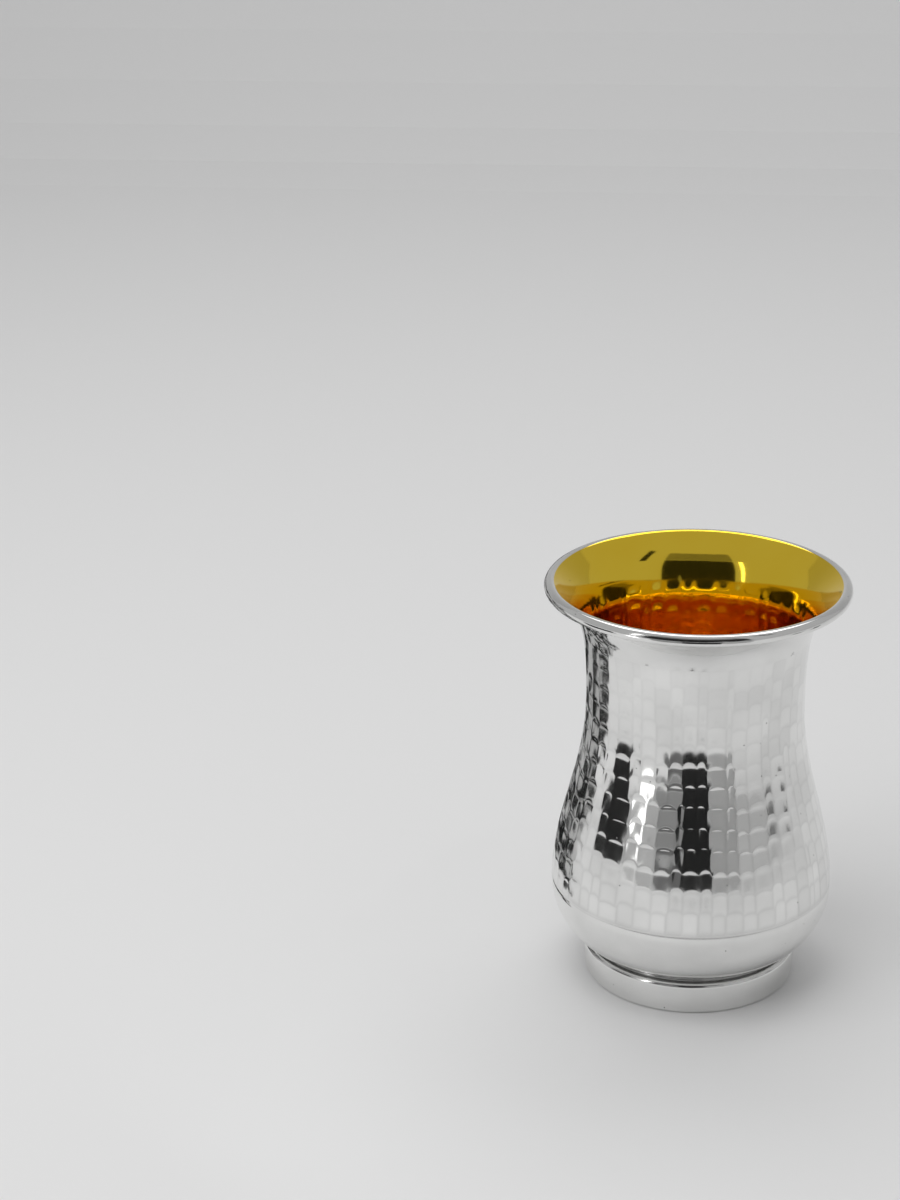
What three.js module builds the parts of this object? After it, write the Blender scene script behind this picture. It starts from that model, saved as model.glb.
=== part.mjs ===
// A small kiddush cup raised from sheet metal: a hammered bulb body with a flared, rolled lip,
// standing on a separate spun foot ring. Millimetres, +Z up, the foot's underside at z = 0.
import * as THREE from 'three';

// Driving sizes of the cup
const cupHeight = 90;
const rimRadius = 32; // to the outside of the rolled lip
const beadRadius = 1.3; // the lip, rolled outward from the sheet
const waistRadius = 23;
const waistHeight = 63.2;
const bellyRadius = 30;
const bellyHeight = 21.5;
const wall = 0.8;

// How far each curve of the outline runs straight on from its ends
const flareRise = 17;
const waistDrop = 15.7;
const bellyRise = 13.7;
const bellyDrop = 7.5;
const lipSlope = new THREE.Vector2(5.6, 4.6);
const mouthEase = 4.5; // the inside's own curve, from the last ridge on to the top of the roll
const seatSlope = new THREE.Vector2(3, 0.9);

// The bowl's underside, where the foot ring is soldered on
const seatRadius = 22;
const seatHeight = 8.2;
const floorHeight = 7.7;
const solderGap = 0.2;

// Foot ring, a strip that leans out a little from its base to its rounded shoulder
const footBaseRadius = 22.6;
const footEdgeRound = 0.8;
const footShoulderRadius = 22.95;
const footShoulderRound = 1;
const footShoulderHeight = 7.1;
const footCollarRadius = 21.2;
const footRestRadius = 20.9; // inner edge of the flat that the cup stands on
const footWall = 1.2;

// Hammering: rows of shallow dishes between the engraved line and the flare, raised on the
// inside as bumps. The lower rows inside, deep in the cup, are left plain.
const marksAround = 44;
const markRows = 12;
const innerRows = 5;
const hammeredFrom = 22.6;
const hammeredTo = 78;
const markDepth = 0.3;
const markFlat = 0.5; // the flat middle of a mark, as a share of its width and height
const ridgeSideways = 0.12; // how far a ridge strays, as a share of a mark's width
const ridgeUpright = 0.13; // and of its height
const strayAcross = 2.4; // radians from one mark to the next, so that neighbours differ
const strayUpwards = 1.73; // and from row to row
const lineHeight = 22.1;
const lineHalfWidth = 0.35;
const lineDepth = 0.2;

// Rings that carry the plain parts of the outline
const bowlRings = [8.9, 10.6, 13.6, 17.5];
const flareRings = [81.5, 84.6, 86.6];
const mouthRings = 3;
const beadRings = 7;
const deepRings = 2; // on the plain wall inside, between the belly and the first inner row

const turn = 2 * Math.PI;
const point = (radius, height) => new THREE.Vector2(radius, height);
const cubic = (...corners) => new THREE.CubicBezierCurve(...corners);

// Outline of the body's outside, from the seat on the foot up to the rolled lip
const beadCentre = point(rimRadius - beadRadius, cupHeight - beadRadius);
const beadFrom = THREE.MathUtils.degToRad(-135);
const beadTo = THREE.MathUtils.degToRad(135);
const onBead = (angle) =>
  point(beadRadius * Math.cos(angle), beadRadius * Math.sin(angle)).add(beadCentre);
const seat = point(seatRadius, seatHeight);
const belly = point(bellyRadius, bellyHeight);
const waist = point(waistRadius, waistHeight);
const lip = onBead(beadFrom);
const underBelly = cubic(
  seat, seat.clone().add(seatSlope), point(bellyRadius, bellyHeight - bellyDrop), belly);
const overBelly = cubic(
  belly, point(bellyRadius, bellyHeight + bellyRise), point(waistRadius, waistHeight - waistDrop), waist);
const flare = cubic(
  waist, point(waistRadius, waistHeight + flareRise), lip.clone().sub(lipSlope), lip);

// A point of the outside at a given height, with its outward normal
function outsideAt(height) {
  const curve = [underBelly, overBelly, flare].find((part) => height <= part.v3.y) ?? flare;
  let low = 0;
  let high = 1;
  for (let halving = 0; halving < 30; halving += 1) {
    const middle = (low + high) / 2;
    if (curve.getPoint(middle).y < height) low = middle;
    else high = middle;
  }
  const along = curve.getTangent(low);
  return { place: curve.getPoint(low), normal: point(along.y, -along.x) };
}

// A ring of the body, moved in from the outside by some depth. An uneven ring is a ridge that
// wanders from mark to mark. A sunk ring holds one or two points for each mark.
function ring(height, depth = 0, options = {}) {
  const { place, normal } = outsideAt(height);
  return { spot: place.clone().addScaledVector(normal, -depth), ...options };
}

const rowPitch = (hammeredTo - hammeredFrom) / markRows;
const spread = (count, from, to) =>
  Array.from({ length: count }, (_, step) => from + ((to - from) * step) / (count - 1));

const between = (from, to, count) => spread(count + 2, from, to).slice(1, -1);

// The inside above the hammering: it leaves the wall and runs smoothly on to the roll
function insideFlare() {
  const { place, normal } = outsideAt(hammeredTo);
  const start = place.addScaledVector(normal, -wall);
  const rolled = onBead(beadTo);
  const overRoll = point(Math.sin(beadTo), -Math.cos(beadTo));
  return cubic(
    start, start.clone().addScaledVector(point(-normal.y, normal.x), mouthEase),
    rolled.clone().addScaledVector(overRoll, -mouthEase), rolled);
}

// Rows of marks from one ridge to the last. The top row fades out, and the ridges that edge the
// hammered band run level.
function hammeredRings(firstRow, depth, shares) {
  const edge = (row) => ({ uneven: row > firstRow && row < markRows, row });
  const rings = [ring(hammeredFrom + firstRow * rowPitch, depth, edge(firstRow))];
  for (let row = firstRow; row < markRows; row += 1) {
    const sunkBy = row === markRows - 1 ? markDepth / 2 : markDepth;
    const foot = hammeredFrom + row * rowPitch;
    for (const share of shares) {
      rings.push(ring(foot + share * rowPitch, depth + sunkBy, { sunk: shares }));
    }
    rings.push(ring(foot + rowPitch, depth, edge(row + 1)));
  }
  return rings;
}

function bodyRings() {
  const plain = (heights, depth) => heights.map((height) => ring(height, depth));
  const bowlHeights = [seatHeight, ...bowlRings];
  const firstInner = markRows - innerRows;
  const outside = [
    ...plain([...bowlHeights, lineHeight - lineHalfWidth], 0),
    ring(lineHeight, lineDepth),
    ...hammeredRings(0, 0, [(1 - markFlat) / 2, (1 + markFlat) / 2]),
    ...plain(flareRings, 0),
  ];
  const bead = spread(beadRings, beadFrom, beadTo).map((angle) => ({ spot: onBead(angle) }));
  const inside = [
    ...plain([...bowlHeights, bellyHeight], wall),
    ...plain(between(bellyHeight, hammeredFrom + firstInner * rowPitch, deepRings), wall),
    ...hammeredRings(firstInner, wall, [0.5]),
    ...between(0, 1, mouthRings).map((share) => ({ spot: insideFlare().getPoint(share) })),
  ].reverse();
  const underFloor = { spot: point(0, floorHeight) };
  const floor = { spot: point(0, floorHeight + wall) };
  return [underFloor, ...outside, ...bead, ...inside, floor];
}

// How far a ridge strays at one mark: a fixed, uneven number between -1 and 1
const stray = (column, row) => Math.sin(strayAcross * column + strayUpwards * row);
const radiusChange = (height, lift) => outsideAt(height + lift).place.x - outsideAt(height).place.x;

function ringPoints({ spot, sunk, uneven, row }) {
  if (spot.x === 0) return [new THREE.Vector3(0, 0, spot.y)];
  const points = [];
  for (let column = 0; column < marksAround; column += 1) {
    const sideways = uneven ? ridgeSideways * stray(column, row) : 0;
    const lift = uneven ? rowPitch * ridgeUpright * stray(3 * column, 0) : 0;
    const radius = spot.x + (lift ? radiusChange(spot.y, lift) : 0);
    for (const share of sunk ?? [sideways]) {
      const angle = ((column + share) * turn) / marksAround;
      points.push(new THREE.Vector3(
        radius * Math.cos(angle), radius * Math.sin(angle), spot.y + lift));
    }
  }
  return points;
}

// The body: rings joined into quads, with a mark sunk in wherever sunk rings lie between two
// ridges: a pyramid for one ring, a flat-bottomed dish for two.
function cupBody() {
  const rings = bodyRings();
  const points = [];
  const starts = [];
  for (const each of rings) {
    starts.push(points.length);
    points.push(...ringPoints(each));
  }
  const at = (level, index) => {
    const count = (starts[level + 1] ?? points.length) - starts[level];
    return starts[level] + (index % count);
  };
  const faces = [];
  const quad = (a, b, c, d) => {
    if (a !== b) faces.push(a, b, c);
    if (c !== d) faces.push(a, c, d);
  };
  for (let level = 0; level + 1 < rings.length; level += 1) {
    if (rings[level].sunk) continue;
    const sunk = rings[level + 1].sunk?.length ?? 0;
    const above = level + sunk + 1;
    for (let column = 0; column < marksAround; column += 1) {
      const [a, b] = [at(level, column), at(level, column + 1)];
      const [d, c] = [at(above, column), at(above, column + 1)];
      if (sunk === 0) {
        quad(a, b, c, d);
      } else if (sunk === 1) {
        const middle = at(level + 1, column);
        faces.push(a, b, middle, b, c, middle, c, d, middle, d, a, middle);
      } else {
        const [p, q] = [at(level + 1, 2 * column), at(level + 1, 2 * column + 1)];
        const [s, r] = [at(level + 2, 2 * column), at(level + 2, 2 * column + 1)];
        quad(a, b, q, p);
        quad(b, c, r, q);
        quad(c, d, s, r);
        quad(d, a, p, s);
        quad(p, q, r, s);
      }
    }
  }
  const geometry = new THREE.BufferGeometry().setFromPoints(points);
  geometry.setIndex(faces);
  geometry.computeVertexNormals();
  return geometry;
}

// The foot ring: a strip turned in below to a flat rest, and drawn in above to a narrow collar
function footRing() {
  const shoulderCentre = point(
    footShoulderRadius - footShoulderRound, footShoulderHeight - footShoulderRound);
  const edgeCentre = point(footBaseRadius - footEdgeRound, footEdgeRound);
  const arc = (centre, radius, from, to, count) =>
    spread(count, from, to).map((angle) =>
      point(radius * Math.cos(angle), radius * Math.sin(angle)).add(centre));
  const quarter = Math.PI / 2;
  const collarTop = seatHeight - solderGap;
  const outside = [
    ...arc(edgeCentre, footEdgeRound, -quarter, 0, 3),
    ...arc(shoulderCentre, footShoulderRound, 0, quarter, 4),
    point(footCollarRadius, footShoulderHeight + solderGap),
    point(footCollarRadius, collarTop),
  ];
  const inside = [
    point(footCollarRadius - footWall, collarTop),
    point(footShoulderRadius - footWall, shoulderCentre.y),
    point(footBaseRadius - footWall, footWall),
    point(footRestRadius, 0),
  ];
  const profile = [...outside, ...inside];
  profile.push(profile[0].clone());
  return new THREE.LatheGeometry(profile, marksAround);
}

const silver = new THREE.MeshStandardMaterial({ color: 0xd9d9d6, roughness: 0.12, metalness: 1 });
const plainSilver = new THREE.MeshStandardMaterial({ color: 0xd2d2d0, roughness: 0.16, metalness: 1 });

const cup = new THREE.Group();
const body = new THREE.Mesh(cupBody(), silver);
body.name = 'cup_body';
const foot = new THREE.Mesh(footRing(), plainSilver);
foot.name = 'foot_ring';
foot.rotation.x = Math.PI / 2;
cup.add(body, foot);

export default cup;
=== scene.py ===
import math
import random
from bisect import bisect_left

import bmesh
import bpy
from mathutils import Euler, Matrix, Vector
from mathutils.geometry import interpolate_bezier


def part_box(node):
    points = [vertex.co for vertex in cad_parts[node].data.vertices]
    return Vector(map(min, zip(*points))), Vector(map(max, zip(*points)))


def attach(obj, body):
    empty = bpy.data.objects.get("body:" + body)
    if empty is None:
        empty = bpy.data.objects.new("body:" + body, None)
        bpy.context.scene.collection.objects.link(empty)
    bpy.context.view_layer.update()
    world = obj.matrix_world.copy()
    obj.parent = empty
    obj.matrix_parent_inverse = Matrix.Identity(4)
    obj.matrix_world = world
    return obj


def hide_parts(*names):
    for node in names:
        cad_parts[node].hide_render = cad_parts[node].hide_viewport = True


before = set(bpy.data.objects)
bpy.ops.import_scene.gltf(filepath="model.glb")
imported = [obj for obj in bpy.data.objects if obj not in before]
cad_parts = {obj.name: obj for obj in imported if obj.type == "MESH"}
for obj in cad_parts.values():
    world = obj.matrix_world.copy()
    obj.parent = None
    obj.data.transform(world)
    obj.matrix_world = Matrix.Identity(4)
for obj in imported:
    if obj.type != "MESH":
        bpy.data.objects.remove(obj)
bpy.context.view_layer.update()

bodyLow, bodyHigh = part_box("cup_body")
rimRadius = bodyHigh[0]
cupTop = bodyHigh[2]
mm = 0.001
fullTurn = 2 * math.pi


def at(radius, height):
    return Vector((radius, 0.0, height))


def arcPoints(centre, radius, fromDegrees, toDegrees, count):
    points = []
    for step in range(count):
        angle = math.radians(fromDegrees + (toDegrees - fromDegrees) * step / (count - 1))
        points.append(centre + at(radius * math.cos(angle), radius * math.sin(angle)))
    return points


# ---- camera ----

cameraView = {
    "distance": 0.5259,  # in front of the cup's axis
    "height": 0.2912,
    "downwards": 21.42,
    "turnedLeft": 5.63,
    "rolled": -0.49,
    "lens": 81.0,
    "sensor": 36.0,
}


def makeCamera():
    camera = bpy.data.cameras.new("camera")
    camera.lens = cameraView["lens"]
    camera.sensor_fit = "VERTICAL"
    camera.sensor_height = cameraView["sensor"]
    camera.clip_start = 0.01
    seen = bpy.data.objects.new("camera", camera)
    bpy.context.collection.objects.link(seen)
    seen.location = (0.0, -cameraView["distance"], cameraView["height"])
    aim = Euler((math.radians(90 - cameraView["downwards"]), 0.0, math.radians(cameraView["turnedLeft"])))
    spin = Euler((0.0, 0.0, math.radians(cameraView["rolled"])))
    seen.rotation_euler = (aim.to_matrix() @ spin.to_matrix()).to_euler()
    bpy.context.scene.camera = seen
    print("camera placed")


# ---- studio ----

studio = {
    "floorTone": 0.80,
    "sweepBack": 0.75,  # where the paper starts to curve up behind the cup
    "sweepRadius": 0.35,
    "sweepHigh": 1.3,
    "sweepSteps": 12,
    "paperRoughness": 0.75,
    "cardRoughness": 0.9,
    "cardSteps": 4,  # flat strips in the arc of a card
    "halfWidth": 1.6,
    "bounces": 12,  # light rings on and on between the gilt walls
    "frontEdge": -0.38,
    "worldTone": 0.72,
    "worldStrength": 0.60,
}


def plainMaterial(name, tone, roughness):
    material = bpy.data.materials.new(name)
    material.use_nodes = True
    shader = material.node_tree.nodes["Principled BSDF"]
    shader.inputs["Base Color"].default_value = (tone, tone, tone, 1.0)
    shader.inputs["Roughness"].default_value = roughness
    return material


blotchLook = {
    "scale": (22.0, 22.0, 75.0),
    "edge": (0.48, 0.52),
    "dark": 0.01,
}


# Black patches on a pale card, each the size of a few hammer marks
def blotchyMaterial(name, tone):
    material = plainMaterial(name, tone, studio["cardRoughness"])
    nodes = material.node_tree.nodes
    link = material.node_tree.links.new
    mapping = nodes.new("ShaderNodeMapping")
    mapping.inputs["Scale"].default_value = blotchLook["scale"]
    link(nodes.new("ShaderNodeTexCoord").outputs["Object"], mapping.inputs["Vector"])
    patches = nodes.new("ShaderNodeTexVoronoi")
    link(mapping.outputs["Vector"], patches.inputs["Vector"])
    cut = nodes.new("ShaderNodeMapRange")
    link(patches.outputs["Color"], cut.inputs["Value"])
    cut.inputs["From Min"].default_value, cut.inputs["From Max"].default_value = blotchLook["edge"]
    cut.inputs["To Min"].default_value = blotchLook["dark"]
    cut.inputs["To Max"].default_value = tone
    link(cut.outputs["Result"], nodes["Principled BSDF"].inputs["Base Color"])
    return material


def makeFloor():
    mesh = bmesh.new()
    sweepCentre = Vector((0.0, studio["sweepBack"], studio["sweepRadius"]))
    outline = [Vector((0.0, studio["frontEdge"], 0.0))]
    for step in range(studio["sweepSteps"] + 1):
        angle = math.radians(-90 + 90 * step / studio["sweepSteps"])
        outline.append(sweepCentre + Vector((0.0, math.cos(angle), math.sin(angle))) * studio["sweepRadius"])
    outline.append(Vector((0.0, outline[-1].y, studio["sweepHigh"])))
    verts = [mesh.verts.new(point - Vector((studio["halfWidth"], 0, 0))) for point in outline]
    edges = [mesh.edges.new(pair) for pair in zip(verts, verts[1:])]
    swept = bmesh.ops.extrude_edge_only(mesh, edges=edges)
    moved = [each for each in swept["geom"] if isinstance(each, bmesh.types.BMVert)]
    bmesh.ops.translate(mesh, verts=moved, vec=(2 * studio["halfWidth"], 0, 0))
    bmesh.ops.recalc_face_normals(mesh, faces=mesh.faces)
    paper = plainMaterial("palePaper", studio["floorTone"], studio["paperRoughness"])
    floor = finishPiece(mesh, "paperSweep", [paper])
    print("floor laid")


# What the polish sees of the room: cards standing in arcs round the cup, each turned so many
# degrees from the viewer's side towards the right, and reaching from one angle up to another
room = {
    "away": 0.12,
    "eye": 0.045,
}
cards = {
    "coat": {"turned": (-9, 16), "upright": (-8, 18), "tone": 0.012},
    "shelf": {"turned": (-29, -9), "upright": (-1, 18), "tone": 0.42},
    "shelfFoot": {"turned": (-26, -9), "upright": (-8, -2), "tone": 0.20},
    "doorway": {"turned": (-80, -56), "upright": (-9, 10), "tone": 0.02},
    "wall": {"turned": (17, 36), "upright": (-8, 18), "tone": 0.55},
    "post": {"turned": (84, 91), "upright": (-5, 5), "tone": 0.06},
    "frame": {"turned": (66, 74), "upright": (-3, 5), "tone": 0.22},
    "window": {"turned": (-38, 38), "upright": (4, 44), "tone": 0.02, "away": 0.6},
    "header": {"turned": (-38, 38), "upright": (44.5, 60), "tone": 0.30, "away": 0.6},
    "sill": {"turned": (8, 36), "upright": (4, 36), "tone": 0.34, "away": 0.59},
    "bracket": {"turned": (60, 68), "upright": (44, 62), "tone": 0.02, "away": 0.6},
    "plateEdge": {"turned": (-186, -138), "upright": (8, 24), "tone": 0.012, "away": 0.085},
    "blotches": {"turned": (-190, -92), "upright": (-30, 32), "tone": 0.9, "away": 0.09},
}
# A lamp that is not mirrored lights the cup and the paper without showing in the polish
lamps = {
    "fill": {"turned": -50, "upright": 62, "away": 0.75, "size": (0.6, 0.6), "watts": 2.2,
             "mirrored": False},
    "backBox": {"turned": 180, "upright": 64, "away": 1.0, "size": (0.9, 0.5), "watts": 2.4,
                "mirrored": True},
    "leftTube": {"turned": -42, "upright": 4, "away": 0.13, "size": (0.018, 0.034), "watts": 0.0025,
                 "mirrored": True},
    "rightTube": {"turned": -46, "upright": 28, "away": 0.9, "size": (0.05, 0.50), "watts": 0.20,
                  "mirrored": True},
}


def around(turned, upright, away):
    turn, lift = math.radians(turned), math.radians(upright)
    flat = away * math.cos(lift)
    return Vector((flat * math.sin(turn), -flat * math.cos(turn), room["eye"] + away * math.sin(lift)))


def makeStudio():
    makeFloor()
    for name, card in cards.items():
        mesh = bmesh.new()
        columns = []
        for step in range(studio["cardSteps"] + 1):
            turned = card["turned"][0] + (card["turned"][1] - card["turned"][0]) * step / studio["cardSteps"]
            away = card.get("away", room["away"])
            columns.append([mesh.verts.new(around(turned, upright, away)) for upright in card["upright"]])
        for left, right in zip(columns, columns[1:]):
            mesh.faces.new((left[0], right[0], right[1], left[1]))
        if name == "blotches":
            paint = blotchyMaterial(name + "Tone", card["tone"])
        else:
            paint = plainMaterial(name + "Tone", card["tone"], studio["cardRoughness"])
        flag = finishPiece(mesh, name, [paint])
        flag.visible_camera = False
        flag.visible_shadow = False
        flag.visible_diffuse = False
    for name, lamp in lamps.items():
        light = bpy.data.lights.new(name, "AREA")
        light.shape = "RECTANGLE"
        light.size, light.size_y = lamp["size"]
        light.energy = lamp["watts"]
        hung = bpy.data.objects.new(name, light)
        bpy.context.collection.objects.link(hung)
        hung.location = around(lamp["turned"], lamp["upright"], lamp["away"])
        toCup = Vector((0.0, 0.0, 0.5 * cupTop)) - hung.location
        hung.rotation_euler = toCup.to_track_quat("-Z", "Y").to_euler()
        hung.visible_camera = False
        hung.visible_glossy = lamp["mirrored"]
    world = bpy.data.worlds.new("studioAir")
    world.use_nodes = True
    air = world.node_tree.nodes["Background"]
    tone = studio["worldTone"]
    air.inputs["Color"].default_value = (tone, tone, tone, 1.0)
    air.inputs["Strength"].default_value = studio["worldStrength"]
    bpy.context.scene.world = world
    bpy.context.scene.view_settings.view_transform = "Standard"
    bpy.context.scene.cycles.glossy_bounces = studio["bounces"]
    print("studio lit")


def finishPiece(mesh, name, materials, smooth=False):
    data = bpy.data.meshes.new(name)
    mesh.to_mesh(data)
    mesh.free()
    for material in materials:
        data.materials.append(material)
    if smooth:
        data.shade_smooth()
    piece = bpy.data.objects.new(name, data)
    bpy.context.collection.objects.link(piece)
    return piece


# ---- finishes ----

silverFinish = {
    "colour": (0.90, 0.90, 0.89),
    "dull": (0.74, 0.74, 0.73),
    "roughness": 0.07,
    "roughnessSpread": 0.06,
    "pitSpacing": 3.2,  # mm
    "pitSize": 0.05,
    "pitShare": 0.6,
    # painted shade: the darkest tone the ridge attribute paints into the metal
    "shadeTone": 0.88,
    "markTone": 0.09,
    "grainHeight": 0.0016,
}
giltFinish = {
    "colour": (0.97, 0.69, 0.06),
    "dull": (0.93, 0.63, 0.04),
    "roughness": 0.06,
    "roughnessSpread": 0.05,
    "pitSpacing": 4.5,
    "pitSize": 0.04,
    "pitShare": 0.06,
    "shadeTone": 0.9,
    "markTone": 0.05,
    "grainHeight": 0.0014,
}
# the foot's cove is painted in shade, down to half its tone
footFinish = dict(silverFinish, roughness=0.13, shadeTone=0.5, grainHeight=0.0022)


# The attributes: ridge, painted shade on the ridges between marks, in the engraved line and in
# the cove over the foot; tone, how bright each mark came out; gilding, above zero where the gold starts
def polishedMetal(name, finish, under=None):
    material = bpy.data.materials.new(name)
    material.use_nodes = True
    nodes = material.node_tree.nodes
    link = material.node_tree.links.new
    shader = nodes["Principled BSDF"]
    shader.inputs["Metallic"].default_value = 1.0

    def add(kind, **settings):
        node = nodes.new(kind)
        for key, value in settings.items():
            setattr(node, key, value)
        return node

    def mix(kind, factor, first, second):
        node = add("ShaderNodeMix", data_type="RGBA", blend_type=kind)
        sockets = (node.inputs[0], node.inputs[6], node.inputs[7])
        for socket, value in zip(sockets, (factor, first, second)):
            if isinstance(value, bpy.types.NodeSocket):
                link(value, socket)
            elif isinstance(value, tuple):
                socket.default_value = (*value, 1.0)
            else:
                socket.default_value = value
        return node.outputs[2]

    def ranged(value, fromLow, fromHigh, toLow, toHigh):
        node = add("ShaderNodeMapRange")
        link(value, node.inputs["Value"])
        sockets = ("From Min", "From Max", "To Min", "To Max")
        for key, number in zip(sockets, (fromLow, fromHigh, toLow, toHigh)):
            node.inputs[key].default_value = number
        return node.outputs["Result"]

    def noise(scale, detail, rough=0.5):
        node = add("ShaderNodeTexNoise")
        link(inMillimetres, node.inputs["Vector"])
        node.inputs["Scale"].default_value = scale
        node.inputs["Detail"].default_value = detail
        node.inputs["Roughness"].default_value = rough
        return node.outputs["Fac"]

    def combine(operation, first, second):
        node = add("ShaderNodeMath", operation=operation)
        for socket, value in zip(node.inputs, (first, second)):
            if isinstance(value, bpy.types.NodeSocket):
                link(value, socket)
            else:
                socket.default_value = value
        return node.outputs[0]

    mapping = add("ShaderNodeMapping")
    mapping.inputs["Scale"].default_value = (1000.0, 1000.0, 1000.0)
    link(add("ShaderNodeTexCoord").outputs["Object"], mapping.inputs["Vector"])
    inMillimetres = mapping.outputs["Vector"]

    cloud = noise(0.09, 4.0)  # broad hazy patches left by polishing
    smear = noise(0.8, 5.0, 0.65)
    grain = noise(6.0, 3.0)
    base = mix("MIX", ranged(cloud, 0.35, 0.75, 0.0, 0.55), finish["colour"], finish["dull"])

    pits = add("ShaderNodeTexVoronoi")
    link(inMillimetres, pits.inputs["Vector"])
    pits.inputs["Scale"].default_value = 1.0 / finish["pitSpacing"]
    chosen = add("ShaderNodeSeparateColor")
    link(pits.outputs["Color"], chosen.inputs[0])
    few = ranged(chosen.outputs[0], finish["pitShare"], finish["pitShare"] + 0.01, 1.0, 0.0)
    near = ranged(pits.outputs["Distance"], finish["pitSize"] * 0.6, finish["pitSize"], 1.0, 0.0)
    pitMask = combine("MULTIPLY", few, near)
    base = mix("MIX", pitMask, base, tuple(0.25 * part for part in finish["dull"]))

    if under:
        gilding = add("ShaderNodeAttribute", attribute_name="gilding")
        base = mix("MIX", ranged(gilding.outputs["Fac"], -0.15, 0.15, 0.0, 1.0), under["colour"], base)
    ridge = add("ShaderNodeAttribute", attribute_name="ridge")
    # painted shade: the ridge attribute darkens the ridges between marks, the engraved line and the cove
    # over the foot
    shadeFactor = ranged(ridge.outputs["Fac"], 0.0, 1.0, 1.0, finish["shadeTone"])
    base = mix("MULTIPLY", 1.0, base, shadeFactor)
    tone = add("ShaderNodeAttribute", attribute_name="tone")
    base = mix("MULTIPLY", 1.0, base, ranged(tone.outputs["Fac"], -1.0, 1.0, 1 - finish["markTone"], 1.0))
    link(base, shader.inputs["Base Color"])

    haze = ranged(smear, 0.3, 0.8, finish["roughness"], finish["roughness"] + finish["roughnessSpread"])
    link(combine("ADD", haze, combine("MULTIPLY", pitMask, 0.3)), shader.inputs["Roughness"])

    bump = add("ShaderNodeBump")
    bump.inputs["Strength"].default_value = 0.5
    bump.inputs["Distance"].default_value = 1.0 * mm
    height = combine("MULTIPLY", grain, finish["grainHeight"])
    height = combine("ADD", height, combine("MULTIPLY", cloud, 0.02))
    height = combine("SUBTRACT", height, combine("MULTIPLY", pitMask, 0.03))
    link(height, bump.inputs["Height"])
    link(bump.outputs["Normal"], shader.inputs["Normal"])
    return material


# ---- cup body ----

cup = {
    "beadRadius": 1.3 * mm,
    "rollEnd": 130,  # degrees round the rolled lip, where the inside begins
    "giltAtBack": 101,  # degrees round it, where the gold begins
    "giltAtSides": 124,
    "wall": 0.8 * mm,
    "seat": (22.0 * mm, 8.2 * mm),
    "seatHandle": (3.0 * mm, 0.9 * mm),
    "belly": (30.0 * mm, 21.5 * mm),
    "bellyDown": 7.5 * mm,
    "bellyUp": 13.7 * mm,
    "waist": (23.0 * mm, 63.2 * mm),
    "waistDown": 15.7 * mm,
    "waistUp": 17 * mm,
    "lipHandle": (5.6 * mm, 4.6 * mm),
    "mouthEase": 5.5 * mm,
    "floor": 7.7 * mm,
    "around": 392,  # points round the cup
    "line": 22.1 * mm,
    "lineWidth": 0.36 * mm,
    "lineDepth": 0.07 * mm,
    # painted shade in the cove over the foot, fading out this far up the bowl
    "coveShadeRise": 1.6 * mm,  # up the bowl from the foot
    "rollStart": -150,
    "rollRings": 18,
    "bowlTop": 20.2 * mm,  # the last ring below the line
    "flareFrom": 1.1 * mm,  # above the hammering
    "flareStop": 0.25 * mm,  # below the lip
    "flareRings": 8,
    "mouthRings": 12,
    "goldFade": 20,  # degrees
    "goldFacesFrom": 85,
}
hammering = {
    "low": 22.6 * mm,
    "high": 79.5 * mm,
    "rows": 13,
    "marksAtBelly": 55,
    "marksAtWaist": 46,
    "depth": 0.08 * mm,
    "unevenDepth": 0.3,
    "bumpsInside": 1.9,  # the dishes show inside as higher bumps
    "ringsOutside": (0, 0.2, 0.4, 0.58, 0.73, 0.84, 0.92, 0.97),  # up each row of marks
    "ringsInside": (0, 0.25, 0.5, 0.72, 0.88),
    "unevenRow": 0.2 * mm,
    "unevenCut": 0.9,  # in points round the cup
    "lift": 0.95 * mm,  # how far one column of marks stands above the next
    "arch": 0.7 * mm,
    "roundness": 2.4,
    "deepest": 0.78,  # how far up each dish
    "lean": 0.35,
    "liftDrift": 0.15,  # how far a column's lift wanders from row to row
    "archPower": 2.5,
    "lastArch": 0.3,
    # painted shade: how closely the painted shade lines hug the ridges between marks
    "ridgeShadePower": 6,
    "fadeFrom": 7,  # the rows above this one grow fainter
    "fadeEach": 0.14,
    "seed": 11,
}

beadCentre = at(rimRadius - cup["beadRadius"], cupTop - cup["beadRadius"])
lip = arcPoints(beadCentre, cup["beadRadius"], -135, -134, 2)[0]
bodyOutline = []
for start, startHandle, endHandle, end in (
    (at(*cup["seat"]), at(*cup["seat"]) + at(*cup["seatHandle"]),
     at(*cup["belly"]) - at(0, cup["bellyDown"]), at(*cup["belly"])),
    (at(*cup["belly"]), at(*cup["belly"]) + at(0, cup["bellyUp"]),
     at(*cup["waist"]) - at(0, cup["waistDown"]), at(*cup["waist"])),
    (at(*cup["waist"]), at(*cup["waist"]) + at(0, cup["waistUp"]), lip - at(*cup["lipHandle"]), lip),
):
    bodyOutline += interpolate_bezier(start, startHandle, endHandle, end, 160)[:-1]
bodyOutline.append(lip)
outlineHeights = [point.z for point in bodyOutline]


def outsideAt(height):
    above = min(max(bisect_left(outlineHeights, height), 1), len(bodyOutline) - 1)
    low, high = bodyOutline[above - 1], bodyOutline[above]
    share = (height - low.z) / (high.z - low.z)
    before, after = bodyOutline[max(above - 3, 0)], bodyOutline[min(above + 2, len(bodyOutline) - 1)]
    along = (after - before).normalized()
    return low.lerp(high, share), at(along.z, -along.x)


def sheetPoint(height, depth):
    place, outward = outsideAt(height)
    return place - outward * depth


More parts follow.
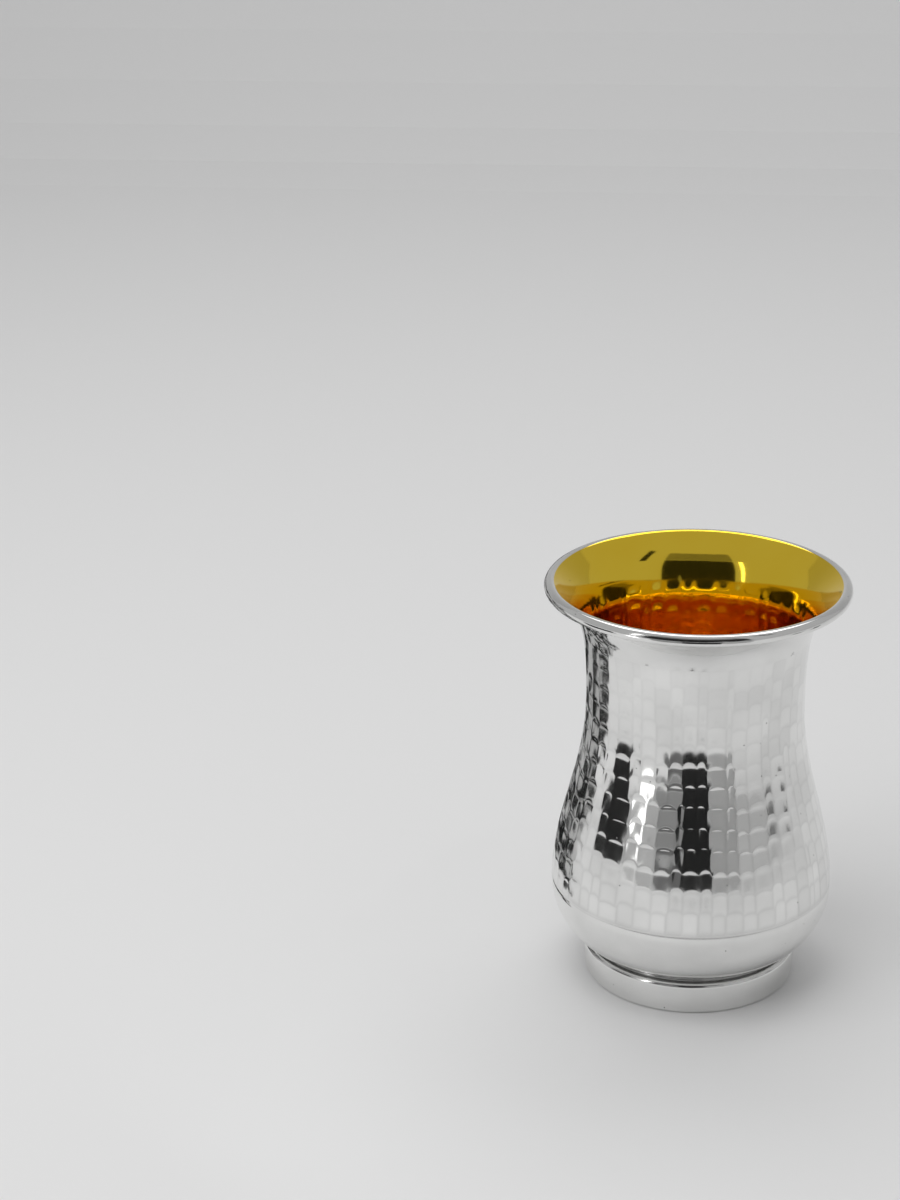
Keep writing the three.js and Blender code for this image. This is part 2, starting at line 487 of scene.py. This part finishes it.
# Above the hammering the inside leaves the wall and runs smoothly on to the rolled lip
def mouthPoints(count):
    start = sheetPoint(hammering["high"], cup["wall"])
    along = outsideAt(hammering["high"])[1]
    before, rolled = arcPoints(beadCentre, cup["beadRadius"], cup["rollEnd"] + 1, cup["rollEnd"], 2)
    overRoll = (rolled - before).normalized()
    ease = cup["mouthEase"]
    leaving = start + at(-along.z, along.x) * ease
    return interpolate_bezier(start, leaving, rolled - overRoll * ease, rolled, count)[1:-1]


def spaced(low, high, count):
    return [low + (high - low) * step / (count - 1) for step in range(count)]


# Cuts between marks, as whole points round the cup, with each row taking over most of the
# cuts of the row below it
def cutRows(rng):
    around = cup["around"]
    widths = [rng.uniform(0.8, 1.25) for _ in range(hammering["marksAtBelly"])]
    cuts = []
    total = 0.0
    for width in widths:
        cuts.append(total * around / sum(widths))
        total += width
    pitch = (hammering["high"] - hammering["low"]) / hammering["rows"]
    rows = []
    for row in range(hammering["rows"]):
        radius = outsideAt(hammering["low"] + (row + 0.5) * pitch)[0].x
        share = (radius - cup["waist"][0]) / (cup["belly"][0] - cup["waist"][0])
        wanted = hammering["marksAtWaist"] + share * (hammering["marksAtBelly"] - hammering["marksAtWaist"])
        wanted = round(min(wanted, hammering["marksAtBelly"]))
        while len(cuts) != wanted:
            spot = rng.randrange(len(cuts))
            if len(cuts) > wanted:
                cuts.pop(spot)
            else:
                following = cuts[(spot + 1) % len(cuts)] + (around if spot + 1 == len(cuts) else 0)
                cuts.insert(spot + 1, 0.5 * (cuts[spot] + following))
            evenOut(cuts, spot, around)
        cuts = [cut + rng.uniform(-1, 1) * hammering["unevenCut"] for cut in cuts]
        whole = sorted({round(cut) % around for cut in cuts})
        rows.append(whole)
    return rows


def evenOut(cuts, spot, around):
    count = len(cuts)
    for _ in range(24):
        for offset in range(-5, 6):
            middle = (spot + offset) % count
            before = cuts[middle - 1] - (around if middle == 0 else 0)
            after = cuts[(middle + 1) % count] + (around if middle + 1 == count else 0)
            cuts[middle] += 0.5 * (0.5 * (before + after) - cuts[middle])


def hammerMarks():
    rng = random.Random(hammering["seed"])
    around = cup["around"]
    pitch = (hammering["high"] - hammering["low"]) / hammering["rows"]
    cutsByRow = cutRows(rng)
    lifts = None
    rows = []
    for row, cuts in enumerate(cutsByRow):
        columns = [None] * around
        newLifts = [0.0] * around
        fade = 1.0 - hammering["fadeEach"] * max(0, row - hammering["fadeFrom"])
        last = row == hammering["rows"] - 1
        for index, cut in enumerate(cuts):
            width = (cuts[(index + 1) % len(cuts)] - cut) % around
            middle = (cut + width // 2) % around
            if lifts is None:
                lift = rng.uniform(-1, 1) * hammering["lift"]
            else:
                drift = hammering["liftDrift"]
                lift = lifts[middle] + rng.uniform(-drift, drift) * hammering["lift"]
            depth = hammering["depth"] * fade * (1 + rng.uniform(-1, 1) * hammering["unevenDepth"])
            lean = rng.uniform(-1, 1) * hammering["lean"]
            tone = rng.uniform(-1, 1)
            for step in range(width):
                side = 2 * step / width - 1
                columns[(cut + step) % around] = (side, depth, lean, tone)
                newLifts[(cut + step) % around] = lift
        lifts = newLifts
        level = hammering["low"] + (row + 1) * pitch
        if not last:
            level += rng.uniform(-1, 1) * hammering["unevenRow"]
        ridge = []
        for column in range(around):
            side = columns[column][0]
            lift = lifts[column]
            if side == -1:
                lift = 0.5 * (lift + lifts[column - 1])
            rise = hammering["arch"] * (1 - abs(side) ** hammering["archPower"]) - 0.5 * hammering["arch"]
            ridge.append(level + (hammering["lastArch"] * rise if last else lift + rise))
        rows.append({"columns": columns, "ridge": ridge, "fade": fade})
    return rows


def bodyRings():
    def plain(heights, depth):
        return [{"spot": sheetPoint(height, depth)} for height in heights]

    def hammered(depth, shares):
        rings = []
        pitch = (hammering["high"] - hammering["low"]) / hammering["rows"]
        for row in range(hammering["rows"]):
            for share in shares:
                height = hammering["low"] + (row + share) * pitch
                relief = hammering["bumpsInside"] if depth else 1.0
                rings.append({"spot": sheetPoint(height, depth), "row": row, "share": share,
                              "depth": depth, "relief": relief})
        rings.append({"spot": sheetPoint(hammering["high"], depth)})
        return rings

    lineTop = cup["line"] + cup["lineWidth"] / 2
    lineFoot = cup["line"] - cup["lineWidth"] / 2
    # the engraved line is painted dark, as shade in the groove
    groove = [
        {"spot": sheetPoint(cup["line"] - 0.15 * cup["lineWidth"], cup["lineDepth"]), "creaseShade": 1.0},
        {"spot": sheetPoint(cup["line"] + 0.15 * cup["lineWidth"], cup["lineDepth"]), "creaseShade": 1.0},
    ]
    bowl = bodyOutline[0:150:11]
    bowlHeights = [point.z for point in bowl] + [cup["bowlTop"], lineFoot]
    flareLow, flareHigh = hammering["high"] + cup["flareFrom"], lip.z - cup["flareStop"]
    flareHeights = spaced(flareLow, flareHigh, cup["flareRings"])
    roll = (cup["rollStart"], cup["rollEnd"], cup["rollRings"])
    rollAngles = spaced(*roll)
    rollSpots = arcPoints(beadCentre, cup["beadRadius"], *roll)
    bead = [{"spot": spot, "roll": angle} for spot, angle in zip(rollSpots, rollAngles)]
    inside = plain(bowlHeights, cup["wall"]) + hammered(cup["wall"], hammering["ringsInside"])
    inside += [{"spot": point} for point in mouthPoints(cup["mouthRings"])]
    floorSpots = [at(0.0, cup["floor"]), at(7 * mm, cup["floor"]), at(14 * mm, cup["floor"]),
                  at(19.5 * mm, cup["floor"] + 0.12 * mm)]
    floorUnder = [{"spot": spot} for spot in floorSpots]
    floorInside = [{"spot": spot + at(0, cup["wall"])} for spot in reversed(floorSpots)]
    outside = plain(bowlHeights, 0.0) + groove + plain([lineTop], 0.0)
    outside += hammered(0.0, hammering["ringsOutside"]) + plain(flareHeights, 0.0)
    # painted shade: the bowl darkens down into the cove over the foot
    for ring in outside:
        ring.setdefault("creaseShade", max(0.0, 1 - (ring["spot"].z - cup["seat"][1]) / cup["coveShadeRise"]))
    gilt = list(reversed(inside)) + floorInside
    for ring in gilt:
        ring["roll"] = 180
    return floorUnder + outside + bead + gilt


# A mark slopes in gently from below and comes out again steeply under its arch
def dishUpwards(share):
    deepest = hammering["deepest"]
    if share < deepest:
        return math.sin(0.5 * math.pi * share / deepest)
    return 1 - ((share - deepest) / (1 - deepest)) ** hammering["roundness"]


def makeCupBody():
    rings = bodyRings()
    marks = hammerMarks()
    around = cup["around"]
    mesh = bmesh.new()
    ringIndex = mesh.verts.layers.int.new("ringIndex")
    shadeLayer = mesh.verts.layers.float.new("ridge")
    markTone = mesh.verts.layers.float.new("tone")
    gilding = mesh.verts.layers.float.new("gilding")
    profile = []
    for index, ring in enumerate(rings):
        vert = mesh.verts.new(ring["spot"])
        vert[ringIndex] = index
        profile.append(vert)
    edges = [mesh.edges.new(pair) for pair in zip(profile, profile[1:])]
    bmesh.ops.spin(mesh, geom=profile + edges, cent=(0, 0, 0), axis=(0, 0, 1), angle=fullTurn,
                   steps=around, use_merge=True)
    bmesh.ops.remove_doubles(mesh, verts=mesh.verts, dist=1e-6)
    print("body spun:", len(rings), "rings")

    for vert in mesh.verts:
        ring = rings[vert[ringIndex]]
        angle = math.atan2(vert.co.y, vert.co.x)
        atBack = max(0.0, math.sin(angle)) ** 2
        goldEdge = cup["giltAtSides"] + (cup["giltAtBack"] - cup["giltAtSides"]) * atBack
        vert[gilding] = max(-1.0, min(1.0, (ring.get("roll", 0) - goldEdge) / cup["goldFade"]))
        # painted shade in the engraved line and in the cove over the foot
        vert[shadeLayer] = ring.get("creaseShade", 0.0)
        if "row" not in ring:
            continue
        column = round(angle / fullTurn * around) % around
        row = ring["row"]
        top = marks[row]["ridge"][column]
        bottom = marks[row - 1]["ridge"][column] if row else hammering["low"]
        height = bottom + (top - bottom) * ring["share"]
        side, depth, lean, tone = marks[row]["columns"][column]
        upright = 2 * ring["share"] - 1
        dish = (1 - abs(side) ** hammering["roundness"]) * (1 + lean * side) * dishUpwards(ring["share"])
        relief = ring["relief"] / math.sqrt(marks[row]["fade"]) if ring["depth"] else ring["relief"]
        spot = sheetPoint(height, ring["depth"] + relief * depth * dish)
        vert.co = (spot.x * math.cos(angle), spot.x * math.sin(angle), spot.z)
        # painted shade lines along the ridges between marks, fainter in the upper rows
        vert[shadeLayer] = marks[row]["fade"] * max(abs(side), abs(upright)) ** hammering["ridgeShadePower"]
        vert[markTone] = tone
    bmesh.ops.recalc_face_normals(mesh, faces=mesh.faces)
    for face in mesh.faces:
        inside = all(rings[vert[ringIndex]].get("roll", 0) > cup["goldFacesFrom"] for vert in face.verts)
        face.material_index = 1 if inside else 0
    mesh.verts.layers.int.remove(ringIndex)
    silver = polishedMetal("hammeredSilver", silverFinish)
    materials = [silver, polishedMetal("giltInside", giltFinish, silverFinish)]
    body = finishPiece(mesh, "hammeredCup", materials, smooth=True)
    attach(body, "root")
    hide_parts("cup_body")
    print("body hammered:", len(body.data.polygons), "faces")


# ---- foot ring ----

foot = {
    "baseRadius": 22.6 * mm,
    "edgeRound": 0.8 * mm,
    "shoulderRadius": 22.95 * mm,
    "shoulderRound": 1.0 * mm,
    "shoulder": 7.1 * mm,
    "collar": 21.2 * mm,
    "rest": 20.9 * mm,
    "wall": 1.2 * mm,
    "around": 256,
    "coveRound": 0.55 * mm,
    # painted shade in the cove reaches this far out on the foot
    "coveShadeReach": 1.6,  # in rounds of the cove, out from the collar
    "innerDrop": 0.15 * mm,
    "innerRound": 0.4,
    "hollow": ((0.1 * mm, 0.6 * mm), (0.0, 0.25 * mm), (0.25 * mm, 0.0)),  # out from the rest, and up
    "innerStart": 1.6 * mm,
}


def makeFootRing():
    edgeCentre = at(foot["baseRadius"] - foot["edgeRound"], foot["edgeRound"])
    shoulderCentre = at(foot["shoulderRadius"] - foot["shoulderRound"],
                        foot["shoulder"] - foot["shoulderRound"])
    coveRound = foot["coveRound"]
    coveCentre = at(foot["collar"] + coveRound, foot["shoulder"] + coveRound)
    outline = arcPoints(edgeCentre, foot["edgeRound"], -90, 0, 7)
    outline += arcPoints(shoulderCentre, foot["shoulderRound"], 0, 90, 9)
    outline += arcPoints(coveCentre, coveRound, 270, 180, 6)
    outline.append(at(foot["collar"], cup["seat"][1]))
    outline.append(at(foot["collar"] - foot["wall"], cup["seat"][1] - foot["innerDrop"]))
    outline += arcPoints(shoulderCentre, foot["shoulderRound"] * foot["innerRound"], 100, 0, 5)
    outline.append(at(foot["baseRadius"] - foot["wall"], foot["innerStart"]))
    outline += [at(foot["rest"] + out, up) for out, up in foot["hollow"]]
    mesh = bmesh.new()
    shadeLayer = mesh.verts.layers.float.new("ridge")
    verts = [mesh.verts.new(point) for point in outline]
    for vert in verts:
        # painted shade in the cove where the foot meets the bowl
        inCove = min(1.0, max(0.0, (vert.co.z - foot["shoulder"] + coveRound) / coveRound))
        vert[shadeLayer] = inCove if vert.co.x < foot["collar"] + foot["coveShadeReach"] * coveRound else 0.0
    edges = [mesh.edges.new(pair) for pair in zip(verts, verts[1:] + verts[:1])]
    bmesh.ops.spin(mesh, geom=verts + edges, cent=(0, 0, 0), axis=(0, 0, 1), angle=fullTurn,
                   steps=foot["around"], use_merge=True)
    bmesh.ops.remove_doubles(mesh, verts=mesh.verts, dist=1e-6)
    bmesh.ops.recalc_face_normals(mesh, faces=mesh.faces)
    ring = finishPiece(mesh, "spunFoot", [polishedMetal("plainSilver", footFinish)], smooth=True)
    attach(ring, "root")
    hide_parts("foot_ring")
    print("foot spun")


makeCamera()
makeStudio()
makeCupBody()
makeFootRing()
